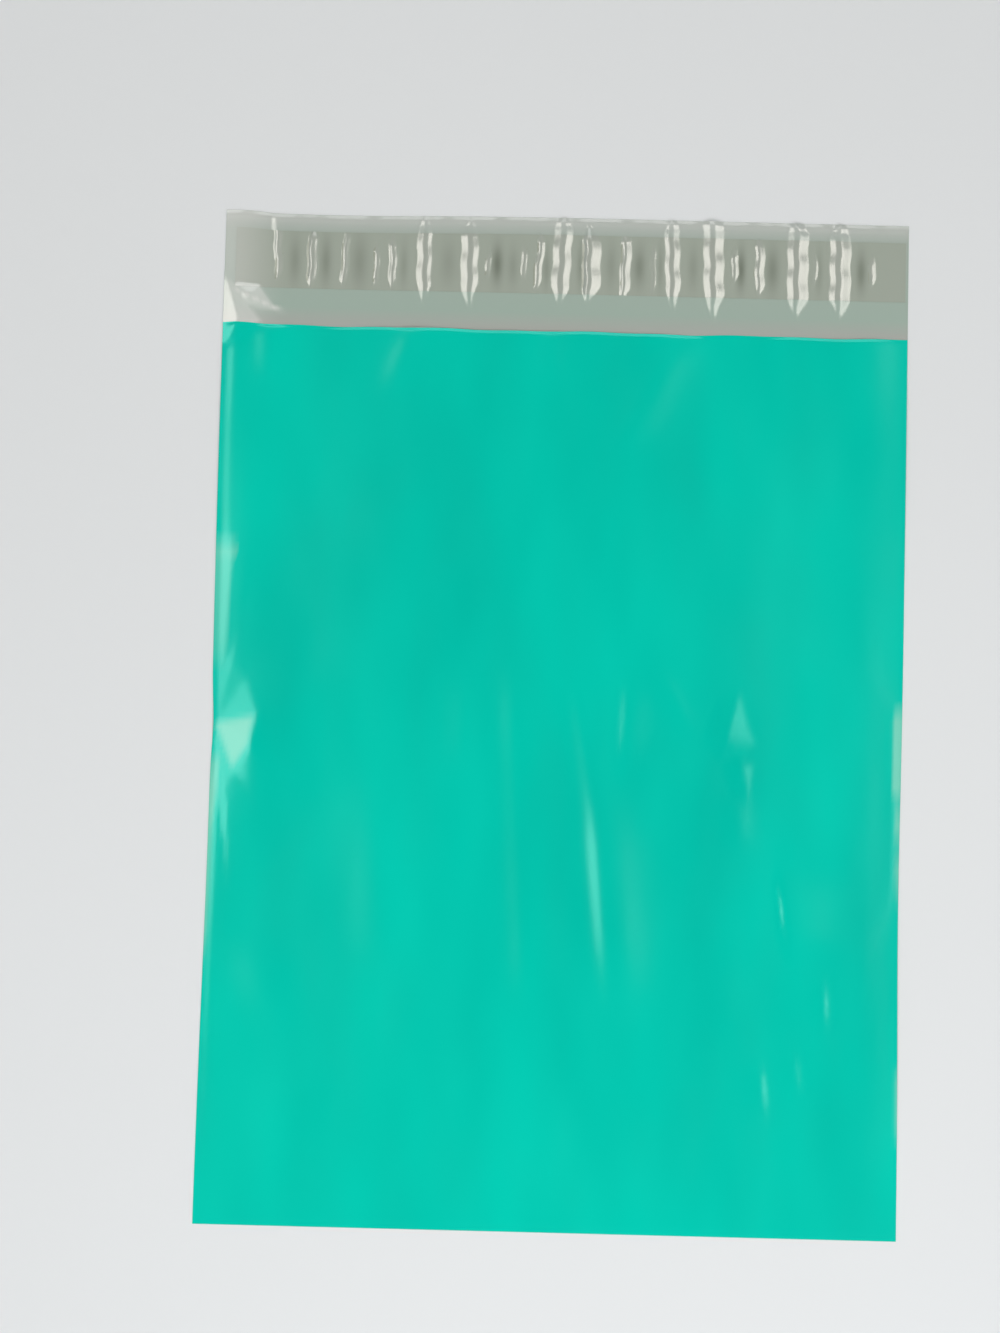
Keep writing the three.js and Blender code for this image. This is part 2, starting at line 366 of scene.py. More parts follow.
@dataclass(frozen=True)
class ShadePatch:
    """A patch of painted shade between two ripples on the liner.

    Attributes:
        at: Distance of its middle from the left edge.
        half: Half its width.
        middle: Distance of its middle above the mouth.
        reach: Half its length up the flap.
        depth: How dark the painted shade is, from 0 to 1.
    """

    at: float
    half: float
    middle: float
    reach: float
    depth: float

    def depth_at(self, x: Array, above_mouth: Array) -> Array:
        """A bell across the patch times one along it."""
        across = bell((x - self.at) / self.half)
        return self.depth * across * bell((above_mouth - self.middle) / self.reach)


@dataclass(frozen=True)
class BagForm:
    """How the folded film lies: the heights of its faces above the table.

    Attributes:
        width: Width of the bag.
        pouch: Bottom fold to the mouth edge of the front panel.
        length: Bottom fold to the free edge of the flap.
        film: Thickness of the film.
        seal: Width of the heat seal down each side.
        fold: Length of the pressed crease along the bottom.
        seal_seat: Gap between the two films in a seal.
        roll_ease: Share of a side roll that each of its rounded ends takes.
        side_slope: Width over which the air builds up from each side.
        middle_loft: Air that the middle of the pouch has on top of the side rolls.
        fold_roll: Length over which the front panel rises from the fold.
        mouth_fade: Length over which it comes down again towards the mouth.
        mouth_share: Share of the air that is left at the mouth.
        curl_reach: Width over which a curled side edge comes back to the table.
        dent_skirt: Width of the skirt round the dent, as a share of its rim's.
        edge_slope: Steepest that the front panel rises from a seal.
        relief_inset: Width over which the wrinkles set in from a seal.
        dip_depth: How far the flap's free edge dips beside its left corner.
        dip_at: Distance of the dip's middle from the left edge.
        dip_half: Half the dip's width.
        dip_from: Distance from the left edge at which the dip starts.
        dip_run: Width over which it sets in.
        full_lift: Height of a ripple at which the liner is wholly off the glue.
        facet_highlight_share: Painted highlight on the crumple's facets, as a share.
        facet_rim: How sharply that ends at the rim of a crumple.
        end_pale: Paleness of the flap at its left end.
        end_reach: Width over which that fades away.
        dent_highlight_share: Painted highlight on the dent's lower facets, as a share.
        dent_rim: How sharply that ends at the rim of the dent.
        dent_upwards: How steeply the highlighted facets' upper side climbs to the right.
        dent_inwards: How far their lower side goes to the right on its way down.
        highlight_edge: Width over which the painted highlight steps off at those two sides.
        highlight_seam: Width over which the painted highlight strips along the seals step off.
        bead_height: Height of the roll just inside the flap's free edge.
        bead_inset: Distance of its crest from that edge.
        bead_half: Half its width.
        bead_spacing: Length of its swells along the edge.
        bead_share: Share of its height that it has on average.
        bead_swing: Share by which it swells and sinks.
        wave_height: Height of the mouth edge's waves.
        wave_spacing: Length of the longer ones.
        wave_fade: Length over which they die away down the panel.
        wave_shares: Shares of the longer and the shorter waves.
        corner_share: Share of the bulge at the mouth's left corner.
        corner_at: Distance of that bulge from the left edge.
        corner_half: Half its width.
        lip: Length of the mouth's lip.
        lip_drop: How far the lip droops.
    """

    width: float
    pouch: float
    length: float
    film: float = 0.06
    seal: float = 1.0
    fold: float = 2.0
    seal_seat: float = 0.01
    roll_ease: float = 0.2
    side_slope: float = 95.0
    middle_loft: float = 1.3
    fold_roll: float = 55.0
    mouth_fade: float = 70.0
    mouth_share: float = 0.15
    curl_reach: float = 29.0
    dent_skirt: float = 2.0
    edge_slope: float = 0.20
    relief_inset: float = 12.0
    dip_depth: float = 1.2
    dip_at: float = 38.0
    dip_half: float = 50.0
    dip_from: float = 6.0
    dip_run: float = 14.0
    full_lift: float = 0.3
    facet_highlight_share: float = 0.58
    facet_rim: float = 3.0
    end_pale: float = 0.42
    end_reach: float = 24.0
    dent_highlight_share: float = 0.5
    dent_rim: float = 5.0
    dent_upwards: float = 0.17
    dent_inwards: float = 0.40
    highlight_edge: float = 3.5
    highlight_seam: float = 1.6
    bead_height: float = 0.36
    bead_inset: float = 1.6
    bead_half: float = 1.1
    bead_spacing: float = 31.0
    bead_share: float = 0.75
    bead_swing: float = 0.35
    wave_height: float = 0.3
    wave_spacing: float = 61.0
    wave_fade: float = 12.0
    wave_shares: Point = (0.6, 0.4)
    corner_share: float = 1.6
    corner_at: float = 6.0
    corner_half: float = 9.0
    lip: float = 1.3
    lip_drop: float = 0.24

    BOWS = (
        Bow(Side.LEFT, at=150.0, half=85.0, depth=0.9),
        Bow(Side.LEFT, at=181.5, half=12.0, depth=0.7),
        Bow(Side.RIGHT, at=115.0, half=60.0, depth=0.8),
    )
    CURLS = (
        Curl(Side.LEFT, at=290.0, half=40.0, lift=0.4),
        Curl(Side.RIGHT, at=80.0, half=45.0, lift=0.5),
        Curl(Side.RIGHT, at=290.0, half=35.0, lift=0.5),
    )
    ROLLS = {
        Side.LEFT: (
            (0.0, 2.6, 0.05), (60.0, 2.6, 0.10), (100.0, 2.8, 0.17), (120.0, 3.0, 0.22),
            (150.0, 3.4, 0.28), (205.0, 5.0, 0.24), (225.0, 5.5, 0.32), (240.0, 6.5, 0.36),
            (246.0, 6.5, 0.48), (252.0, 5.5, 0.22), (262.0, 5.0, 0.20), (290.0, 5.0, 0.24),
            (306.0, 5.5, 0.34), (322.0, 5.5, 0.38), (330.0, 5.5, 0.30),
        ),
        Side.RIGHT: (
            (0.0, 14.0, 0.10), (105.0, 14.0, 0.20), (124.0, 3.2, 0.15), (160.0, 2.8, 0.17),
            (190.0, 3.2, 0.15), (208.0, 16.0, 0.20), (330.0, 16.0, 0.20),
        ),
    }
    WRINKLES = (
        Wrinkle(((112.2, 204.0), (115.5, 150.0), (120.4, 81.0)), 7.0, 14.0, 1.06, 40.0),
        Wrinkle(((135.0, 198.0), (143.5, 150.0), (147.5, 113.0), (151.5, 79.0)), 5.0, 12.0, 0.7, 30.0),
        Wrinkle(((145.4, 152.0), (148.4, 116.0), (150.9, 90.0)), 8.0, 12.0, 0.92, 36.0),
        Wrinkle(((193.0, 158.0), (194.5, 143.0)), 5.0, 5.0, 0.34, 8.0),
        Wrinkle(((154.0, 198.0), (152.8, 172.0)), 3.2, 8.0, 0.80, 20.0),
        Wrinkle(((93.8, 197.0), (93.8, 168.0)), 6.0, 5.0, 0.4, 24.0),
        Wrinkle(((58.6, 160.0), (65.0, 96.0)), 9.0, 8.0, 0.5, 40.0),
        Wrinkle(((164.7, 204.0), (174.0, 186.0)), 5.0, 4.0, 0.3, 12.0),
        Wrinkle(((210.2, 128.0), (212.2, 120.0), (212.4, 114.5), (215.4, 104.5)), 2.0, 17.0, 0.74, 6.0),
        Wrinkle(((203.3, 59.0), (205.3, 43.0)), 4.0, 2.0, 0.35, 8.0),
        Wrinkle(((225.8, 90.0), (226.5, 77.0)), 3.0, 2.0, 0.3, 7.0),
        Wrinkle(((215.3, 64.0), (216.8, 52.0)), 4.0, 2.5, 0.3, 7.0),
        Wrinkle(((17.4, 330.0), (17.7, 312.0)), 5.0, 5.0, 0.5, 10.0),
        Wrinkle(((71.4, 330.0), (64.2, 310.0)), 5.0, 6.0, 0.6, 12.0),
        Wrinkle(((122.6, 330.0), (121.4, 312.0)), 5.0, 5.0, 0.5, 10.0),
        Wrinkle(((167.5, 326.0), (150.5, 289.0)), 6.0, 9.0, 0.7, 20.0),
        Wrinkle(((19.0, 98.0), (26.0, 74.0)), 8.0, 8.0, 0.5, 20.0),
    )
    SWELLS = (
        Swell(across=83.0, along=910.0, phase=0.10, height=0.14),
        Swell(across=47.0, along=-520.0, phase=0.55, height=0.06),
        Swell(across=151.0, along=260.0, phase=0.30, height=0.20),
        Swell(across=-66.0, along=170.0, phase=0.80, height=0.07),
    )
    DENT = Facets(
        point=(2.4, 181.5, 0.0),
        rim=((5.0, 158.5, 0.6), (10.5, 164.5, 1.2), (15.6, 172.5, 2.6), (18.0, 186.0, 1.5),
             (12.6, 198.0, 0.8), (7.0, 206.0, 0.5)),
        closed=False,
    )
    # Painted highlight strips along the seals: how far up, how wide and how strong, at each station.
    SEAL_HIGHLIGHTS = {
        Side.LEFT: (
            (92.0, 0.8, 0.0), (104.0, 0.9, 0.40), (141.0, 1.2, 0.45), (157.0, 2.6, 0.45),
            (166.0, 3.2, 0.30), (172.0, 3.2, 0.0), (200.0, 4.5, 0.0), (210.0, 5.0, 0.14),
            (240.0, 6.0, 0.20), (245.0, 8.0, 0.28), (251.0, 7.0, 0.0),
        ),
        Side.RIGHT: (
            (34.0, 0.8, 0.0), (42.0, 0.8, 0.35), (58.0, 0.8, 0.35), (64.0, 0.8, 0.0),
            (120.0, 0.9, 0.0), (128.0, 1.0, 0.30), (136.0, 1.3, 0.40), (140.0, 1.0, 0.10),
            (150.0, 1.6, 0.40), (158.0, 2.2, 0.15), (164.0, 3.0, 0.40), (188.0, 3.2, 0.40),
            (196.0, 2.4, 0.0),
        ),
    }
    PATCHES = (
        Facets(
            point=(189.5, 180.0, 0.74),
            rim=((201.0, 177.5, 0.0), (197.5, 186.0, 0.0), (194.0, 199.0, 0.0), (186.0, 194.0, 0.0),
                 (181.5, 180.0, 0.0), (187.0, 172.0, 0.0), (194.0, 174.0, 0.0)),
        ),
        Facets(
            point=(194.8, 170.5, 0.40),
            rim=((200.0, 172.0, 0.0), (194.0, 173.6, 0.0), (188.5, 170.0, 0.0), (192.0, 160.0, 0.0),
                 (198.4, 155.0, 0.0)),
        ),
    )
    CRUMPLES = (
        Facets(
            point=(6.0, 2.0, 1.15),
            rim=((16.0, 1.0, 0.0), (10.0, 9.0, 0.0), (2.0, 21.0, 0.0), (-0.5, 21.0, 0.0),
                 (-0.5, -10.0, 0.0), (7.0, -7.0, 0.0)),
        ),
        Facets(
            point=(9.5, 10.6, 1.0),
            rim=((21.5, 5.0, 0.0), (14.0, 15.6, 0.0), (0.5, 16.6, 0.0), (1.5, 12.0, 0.0),
                 (7.0, 5.5, 0.0)),
        ),
    )
    # A painted highlight line along the crumpled corner's crease; it lightens the colour and shapes
    # nothing.
    CREASE_HIGHLIGHT = Wrinkle(((2.5, 13.6), (9.5, 10.6), (20.5, 5.6)), 2.2, 2.2, 0.9, 3.0)
    RIPPLES = (
        Ripple(at=19.2, left=0.9, right=2.3, bottom=16.0, top=45.0, lean=-0.8),
        Ripple(at=32.0, left=1.2, right=2.9, bottom=14.0, top=39.0),
        Ripple(at=44.4, left=0.9, right=2.0, bottom=14.0, top=39.0, lean=0.5),
        Ripple(at=56.2, left=0.8, right=1.7, bottom=14.0, top=34.0),
        Ripple(at=62.0, left=0.9, right=2.4, bottom=14.0, top=37.0),
        Ripple(at=74.2, left=3.2, right=3.2, bottom=8.0, top=46.0, foot=9.0, head=9.0),
        Ripple(at=91.0, left=3.7, right=3.6, bottom=6.0, top=44.0, foot=11.0, head=8.0),
        Ripple(at=97.8, left=1.0, right=1.6, bottom=18.0, top=32.0, lean=0.3),
        Ripple(at=111.0, left=1.0, right=1.6, bottom=17.0, top=34.0),
        Ripple(at=116.4, left=1.0, right=2.2, bottom=13.5, top=39.0, lean=1.2),
        Ripple(at=125.2, left=3.9, right=3.9, bottom=8.5, top=48.0, lean=0.8, foot=8.0, head=9.0),
        Ripple(at=134.8, left=1.9, right=5.4, bottom=10.5, top=42.0, foot=6.0, head=7.0),
        Ripple(at=148.2, left=1.2, right=3.0, bottom=11.5, top=40.0, lean=0.5),
        Ripple(at=159.0, left=0.9, right=1.7, bottom=13.0, top=36.0, steep=0.18),
        Ripple(at=166.1, left=3.1, right=3.3, bottom=7.0, top=48.0, lean=-0.6, foot=10.0, head=9.0),
        Ripple(
            at=181.2, left=3.9, right=4.4, bottom=4.5, top=54.0, lean=-0.6, steep=0.27, foot=11.0, head=6.0
        ),
        Ripple(at=189.2, left=1.1, right=1.8, bottom=18.0, top=35.0, lean=0.2),
        Ripple(at=198.2, left=1.2, right=2.5, bottom=14.0, top=39.0),
        Ripple(at=212.4, left=4.0, right=4.6, bottom=7.0, top=48.0, steep=0.27, foot=7.0, head=9.0),
        Ripple(at=219.0, left=0.8, right=1.5, bottom=18.0, top=34.0, steep=0.18),
        Ripple(at=228.1, left=4.0, right=4.6, bottom=7.0, top=47.0, steep=0.27, foot=7.0, head=9.0),
        Ripple(at=240.2, left=1.1, right=1.7, bottom=18.0, top=33.0, lean=0.3),
    )
    # Patches of painted shade between the ripples; they only darken the liner's colour.
    SHADE_PATCHES = (
        ShadePatch(26.0, 2.2, 25.0, 9.0, 0.5), ShadePatch(37.5, 2.0, 25.0, 9.0, 0.6),
        ShadePatch(50.0, 3.0, 25.0, 10.0, 0.5), ShadePatch(66.5, 1.5, 24.0, 8.0, 0.4),
        ShadePatch(83.0, 3.0, 25.0, 8.0, 0.35), ShadePatch(101.2, 2.0, 25.0, 7.0, 1.0),
        ShadePatch(107.0, 2.0, 24.0, 7.0, 0.4), ShadePatch(119.5, 1.2, 24.0, 7.0, 0.5),
        ShadePatch(132.0, 1.2, 25.0, 8.0, 0.5), ShadePatch(143.5, 2.0, 25.0, 8.0, 0.4),
        ShadePatch(154.0, 2.2, 25.0, 7.0, 0.7), ShadePatch(161.8, 1.0, 25.0, 8.0, 0.4),
        ShadePatch(174.0, 2.0, 25.0, 8.0, 0.4), ShadePatch(191.8, 1.6, 25.0, 7.0, 1.0),
        ShadePatch(203.5, 2.4, 25.0, 8.0, 0.7), ShadePatch(220.8, 1.4, 25.0, 8.0, 0.4),
        ShadePatch(236.4, 1.8, 25.0, 7.0, 0.8),
    )

    def drawn_in(self, x: Array, y: Array) -> Array:
        """Place across the table: the sides bow inwards where the panels stand apart.

        The left side bows in a bell up its length, and once more at the dent. The right side
        bows in one bell. In between, the shift goes evenly from one to the other.

        Args:
            x: Distance in from the left edge of the flat sheet.
            y: Distance up from the bottom fold.

        Returns:
            Distance across the table from where the left corners lie.
        """
        left, right = (
            sum(b.depth * bell((y - b.at) / b.half) for b in self.BOWS if b.side is side)
            for side in (Side.LEFT, Side.RIGHT)
        )
        share = x / self.width
        return x + left * (1.0 - share) - right * share

    def set_back(self, x: Array, y: Array) -> Array:
        """Place up the table: the free edge of the flap dips beside its left corner.

        Args:
            x: Distance in from the left edge.
            y: Distance up from the bottom fold of the flat sheet.

        Returns:
            Distance up the table from the bottom fold.
        """
        dip = self.dip_depth * bell((x - self.dip_at) / self.dip_half)
        dip = dip * rise((x - self.dip_from) / self.dip_run)
        return y - dip * rise((y - self.pouch) / (self.length - self.pouch))

    def curl(self, x: Array, y: Array) -> Array:
        """Lift of the side edges: a bell along each stretch, falling smoothly to 0 inwards.

        Args:
            x: Distance in from the left edge.
            y: Distance up from the bottom fold.

        Returns:
            The lift at each point.
        """
        inwards = {Side.LEFT: x, Side.RIGHT: self.width - x}
        return sum(
            c.lift * bell((y - c.at) / c.half) * rise(1.0 - inwards[c.side] / self.curl_reach)
            for c in self.CURLS
        )

    def pucker(self, x: Array, y: Array) -> Array:
        """Height of the flap's ripples and of its crumpled corner.

        Args:
            x: Distance in from the left edge.
            y: Distance up from the bottom fold.

        Returns:
            The highest ripple or facet at each point.
        """
        above = y - self.pouch
        ripples = np.max([r.height_at(x, above) for r in self.RIPPLES], axis=0)
        crumples = np.max([c.peak(x, above) for c in self.CRUMPLES], axis=0)
        return np.maximum(ripples, crumples)

    def lift(self, x: Array, y: Array) -> Array:
        """How far the liner is off the glue: 1 on a ripple, and down to -1 where painted shade lies
        between the ripples.

        Each patch of shade is a rounded hump turned over, longer up the flap than across it.

        Args:
            x: Distance in from the left edge.
            y: Distance up from the bottom fold.

        Returns:
            The lift at each point.
        """
        above = y - self.pouch
        # Painted shade: each patch pulls the lift below 0, and the liner's colour darkens with it.
        painted_shade = sum(t.depth_at(x, above) for t in self.SHADE_PATCHES)
        return np.clip(self.pucker(x, y) / self.full_lift - painted_shade, -1.0, 1.0)

    def flap_highlight(self, x: Array, y: Array) -> Array:
        """Painted highlight on the flap, strongest along the crease of the crumpled corner.

        It is the most of three: a painted highlight line along the crease, a set share of painted
        highlight over the crumple's facets, and a share that fades away from the left end of the flap.

        Args:
            x: Distance in from the left edge.
            y: Distance up from the bottom fold.

        Returns:
            The painted highlight at each point, from 0 to 1.
        """
        above = y - self.pouch
        within = [rise(self.facet_rim * (1.0 - c.fan(x, above)[0])) for c in self.CRUMPLES]
        facets = self.facet_highlight_share * np.max(within, axis=0)
        end = self.end_pale * rise(1.0 - x / self.end_reach)
        return np.max([self.CREASE_HIGHLIGHT.height_at(x, above), facets, end], axis=0)

    def dent_highlight(self, x: Array, y: Array) -> Array:
        """Painted highlight on the front panel, in the lower facets of the dent.

        They lie between two lines from the dent's point, one up to the right and one down, and
        end at its rim. The painted highlight is a set share there, and steps off smoothly at all three.

        Args:
            x: Distance in from the left edge.
            y: Distance up from the bottom fold.

        Returns:
            The painted highlight at each point, from 0 to 1.
        """
        place = self.drawn_in(x, y)
        right, down = place - self.DENT.point[0], self.DENT.point[1] - y
        below = rise((self.dent_upwards * right + down) / self.highlight_edge + 0.5)
        beside = rise((right - self.dent_inwards * down) / self.highlight_edge + 0.5)
        within = rise(self.dent_rim * (1.0 - self.DENT.fan(place, y)[0]))
        return self.dent_highlight_share * below * beside * within

    def seal_highlights(self, x: Array, y: Array) -> Array:
        """Painted highlight strips on the front panel along its side seals.

        Each side has stations up its length, with how wide the painted highlight strip is there and
        how strong. In between, both go evenly from one station to the next.

        Args:
            x: Distance in from the left edge.
            y: Distance up from the bottom fold.

        Returns:
            The painted highlight at each point, from 0 to 1.
        """
        strips = []
        for side, inwards in ((Side.LEFT, x), (Side.RIGHT, self.width - x)):
            up, widths, shares = np.array(self.SEAL_HIGHLIGHTS[side]).T
            within = rise((np.interp(y, up, widths) - inwards) / self.highlight_seam + 0.5)
            strips.append(np.interp(y, up, shares) * within)
        return np.maximum(*strips)

    def bead(self, x: Array, y: Array) -> Array:
        """A low roll just inside the free edge of the flap, higher here and there along it.

        Args:
            x: Distance in from the left edge.
            y: Distance up from the bottom fold.

        Returns:
            The roll's height at each point.
        """
        turns = 2.0 * np.pi * x / self.bead_spacing
        swell = np.sin(turns) * np.sin(OFFBEAT * turns + OFFSET)
        across = bell((y - self.length + self.bead_inset) / self.bead_half)
        return self.bead_height * (self.bead_share + self.bead_swing * swell) * across

    def mouth_wave(self, x: Array, y: Array) -> Array:
        """How far the mouth edge of the front panel strays up the flap: two sines and a bell.

        Args:
            x: Distance in from the left edge.
            y: Distance up from the bottom fold.

        Returns:
            The stray at each point, fading to 0 down the panel.
        """
        turns = 2.0 * np.pi * x / self.wave_spacing
        longer, shorter = self.wave_shares
        stray = longer * np.sin(turns) + shorter * np.sin(OFFBEAT * turns + OFFSET)
        stray = stray + self.corner_share * bell((x - self.corner_at) / self.corner_half)
        return self.wave_height * stray * rise((y - self.pouch) / self.wave_fade + 1.0)

    def underside(self, x: Array, y: Array) -> Array:
        """Height of the film's lower face: curled edges, puckered flap and rolled free edge."""
        return self.curl(x, y) + self.pucker(x, y) + self.bead(x, y)

    def inside_back(self, x: Array, y: Array) -> Array:
        """Height of the back panel's and the flap's upper face, one film above the lower."""
        return self.underside(x, y) + self.film

    def side_rolls(self, x: Array, y: Array) -> Array:
        """Height that the front panel gains in a short roll beside each seal.

        Each side has stations up its length, with how far in the roll ends and how high it
        gets. In between, both go evenly from one station to the next.

        Args:
            x: Distance in from the left edge.
            y: Distance up from the bottom fold.

        Returns:
            The height at each point.
        """
        rolls = []
        for side, inwards in ((Side.LEFT, x), (Side.RIGHT, self.width - x)):
            up, ends, lofts = np.array(self.ROLLS[side]).T
            run = np.interp(y, up, ends) - self.seal
            rolls.append(np.interp(y, up, lofts) * ramp((inwards - self.seal) / run, self.roll_ease))
        across = rise(x / self.width)
        return rolls[0] * (1.0 - across) + rolls[1] * across

    def gap(self, x: Array, y: Array) -> Array:
        """Air between the panels: none at the seals and the fold, most in the middle.

        A short roll beside each seal and a long slope to the middle are added, with wrinkles
        and swells. The sum fades to the fold and, in part, to the mouth. The dent and the
        faceted patches are pressed into it, and a narrow lip along the mouth droops.

        Args:
            x: Distance in from the left edge.
            y: Distance up from the bottom fold.

        Returns:
            The gap at each point.
        """
        inwards = np.minimum(x, self.width - x) - self.seal
        place = self.drawn_in(x, y)
        loft = self.middle_loft * rise(inwards / self.side_slope)
        from_mouth = rise((self.pouch - y) / self.mouth_fade)
        towards_mouth = self.mouth_share + (1.0 - self.mouth_share) * from_mouth
        relief = sum(w.height_at(place, y) for w in (*self.WRINKLES, *self.SWELLS))
        relief = relief + sum(p.peak(place, y) for p in self.PATCHES)
        relief = relief * rise(inwards / self.relief_inset)
        lies = loft * towards_mouth + relief + self.side_rolls(x, y)
        lies = np.maximum(lies, 0.0) * rise((y - self.fold) / self.fold_roll)
        pressed = self.DENT.press(lies, place, y, self.dent_skirt)
        drooped = pressed - self.lip_drop * rise((y - self.pouch) / self.lip + 1.0)
        return np.clip(drooped, 0.0, self.edge_slope * np.maximum(inwards, 0.0))

    def outside_front(self, x: Array, y: Array) -> Array:
        """Height of the front panel's outer face: both films and the air between them."""
        return self.inside_back(x, y) + self.seal_seat + self.gap(x, y) + self.film


class Graph:
    """The node tree of one material."""

    def __init__(self, name: str) -> None:
        """Starts an empty tree with a shader and its output.

        Args:
            name: Name of the material.
        """
        self.material = bpy.data.materials.new(name)
        self.material.use_nodes = True
        self.tree = self.material.node_tree
        self.tree.nodes.clear()
        self.shader = self.node("ShaderNodeBsdfPrincipled")
        output = self.node("ShaderNodeOutputMaterial")
        self.link(self.shader.outputs["BSDF"], output.inputs["Surface"])

    def node(self, kind: str, values: dict | None = None, **settings: object) -> bpy.types.Node:
        """Adds a node.

        Args:
            kind: Blender's name for the kind of node.
            values: Values of its input sockets, by socket name or number.
            settings: Properties of the node itself.

        Returns:
            The new node.
        """
        made = self.tree.nodes.new(kind)
        for key, value in settings.items():
            setattr(made, key, value)
        for key, value in (values or {}).items():
            made.inputs[key].default_value = value
        return made

    def link(self, source: bpy.types.NodeSocket, target: bpy.types.NodeSocket) -> None:
        """Joins an output socket to an input socket."""
        self.tree.links.new(source, target)

    def noise(self, size: tuple[float, float, float], detail: float) -> bpy.types.NodeSocket:
        """Cloudy noise in the piece's own coordinates.

        Args:
            size: Size of a cloud along each axis, in metres.
            detail: How many finer layers are in it.

        Returns:
            The noise, from 0 to 1.
        """
        place = self.node("ShaderNodeTexCoord")
        scale = self.node("ShaderNodeMapping", {"Scale": [1.0 / s for s in size]})
        noise = self.node("ShaderNodeTexNoise", {"Scale": 1.0, "Detail": detail})
        self.link(place.outputs["Object"], scale.inputs["Vector"])
        self.link(scale.outputs["Vector"], noise.inputs["Vector"])
        return noise.outputs["Fac"]

    def between(
        self, source: bpy.types.NodeSocket, start: float, end: float, low: float, high: float
    ) -> bpy.types.NodeSocket:
        """A value that goes from low to high as the source goes from start to end."""
        spread = self.node(
            "ShaderNodeMapRange",
            {"From Min": start, "From Max": end, "To Min": low, "To Max": high},
        )
        self.link(source, spread.inputs["Value"])
        return spread.outputs["Result"]

    def mix(
        self, share: bpy.types.NodeSocket, first: Colour, second: Colour
    ) -> bpy.types.NodeSocket:
        """A colour that goes from the first to the second as the share goes from 0 to 1."""
        blend = self.node("ShaderNodeMix", {6: (*first, 1.0), 7: (*second, 1.0)}, data_type="RGBA")
        self.link(share, blend.inputs[0])
        return blend.outputs[2]

    def fade(
        self, share: bpy.types.NodeSocket, first: bpy.types.NodeSocket, second: Colour
    ) -> bpy.types.NodeSocket:
        """A colour that goes from another node's to a set one as the share goes from 0 to 1."""
        blend = self.node("ShaderNodeMix", {7: (*second, 1.0)}, data_type="RGBA")
        self.link(share, blend.inputs[0])
        self.link(first, blend.inputs[6])
        return blend.outputs[2]

    def bands(
        self, source: bpy.types.NodeSocket, stops: tuple[tuple[float, Colour], ...]
    ) -> bpy.types.NodeSocket:
        """A colour that runs through a row of stops as the source grows.

        Args:
            source: The value that picks the colour.
            stops: Colours in order, each with the value that it stands at.

        Returns:
            The colour.
        """
        first, last = stops[0][0], stops[-1][0]
        ramp_node = self.node("ShaderNodeValToRGB")
        stretch = ramp_node.color_ramp.elements
        for at, _ in stops[1:-1]:
            stretch.new((at - first) / (last - first))
        for element, (_, colour) in zip(stretch, stops):
            element.color = (*colour, 1.0)
        self.link(self.between(source, first, last, 0.0, 1.0), ramp_node.inputs["Fac"])
        return ramp_node.outputs["Color"]

    def bump(self, height: bpy.types.NodeSocket, depth: float) -> None:
        """Gives the shader a relief.

        Args:
            height: Height, from 0 to 1.
            depth: What a height of 1 stands for, in metres.
        """
        relief = self.node("ShaderNodeBump", {"Strength": 1.0, "Distance": depth})
        self.link(height, relief.inputs["Height"])
        self.link(relief.outputs["Normal"], self.shader.inputs["Normal"])


@dataclass(frozen=True)
class OuterFilm:
    """The coloured outer face of the film: soft gloss, faint clouds and fine lines from the die.

    Attributes:
        colour: Main colour.
        cloud: Colour where the film is a little thicker.
        highlight_colour: Colour of the painted highlights in the dent and along the seals.
        reflects: How much it reflects, where 0.5 is a clear plastic.
        sheen: Tint of what it reflects.
        glossiest: Roughness where it is smoothest.
        dullest: Roughness where it is hazy.
        grain: Depth of the fine relief, in metres.
    """

    colour: Colour = (0.0, 0.572, 0.436)
    cloud: Colour = (0.0, 0.492, 0.380)
    highlight_colour: Colour = (0.42, 0.70, 0.55)
    reflects: float = 0.62
    sheen: Colour = (0.4, 1.0, 0.95)
    glossiest: float = 0.16
    dullest: float = 0.22
    grain: float = 0.000008

    def material(self) -> bpy.types.Material:
        """Clouds drawn out along the film tint the colour, a painted highlight colour is laid over it
        where the mesh marks one, haze sets the roughness, and finer grains, drawn out too, give the
        relief.

        Returns:
            The material.
        """
        graph = Graph("teal_film")
        clouds = graph.between(graph.noise((0.042, 0.12, 0.06), 2.0), 0.3, 0.7, 0.0, 1.0)
        # Painted highlight: the mesh's mark lays a light colour over the dent's lower facets and strips
        # along the seals.
        painted_highlight = graph.node("ShaderNodeAttribute", attribute_name="painted_highlight").outputs["Fac"]
        colour = graph.fade(painted_highlight, graph.mix(clouds, self.colour, self.cloud), self.highlight_colour)
        graph.link(colour, graph.shader.inputs["Base Color"])
        graph.shader.inputs["Specular IOR Level"].default_value = self.reflects
        graph.shader.inputs["Specular Tint"].default_value = (*self.sheen, 1.0)
        haze = graph.noise((0.014, 0.04, 0.014), 2.0)
        roughness = graph.between(haze, 0.2, 0.8, self.glossiest, self.dullest)
        graph.link(roughness, graph.shader.inputs["Roughness"])
        graph.bump(graph.noise((0.005, 0.02, 0.005), 1.0), self.grain)
        return graph.material


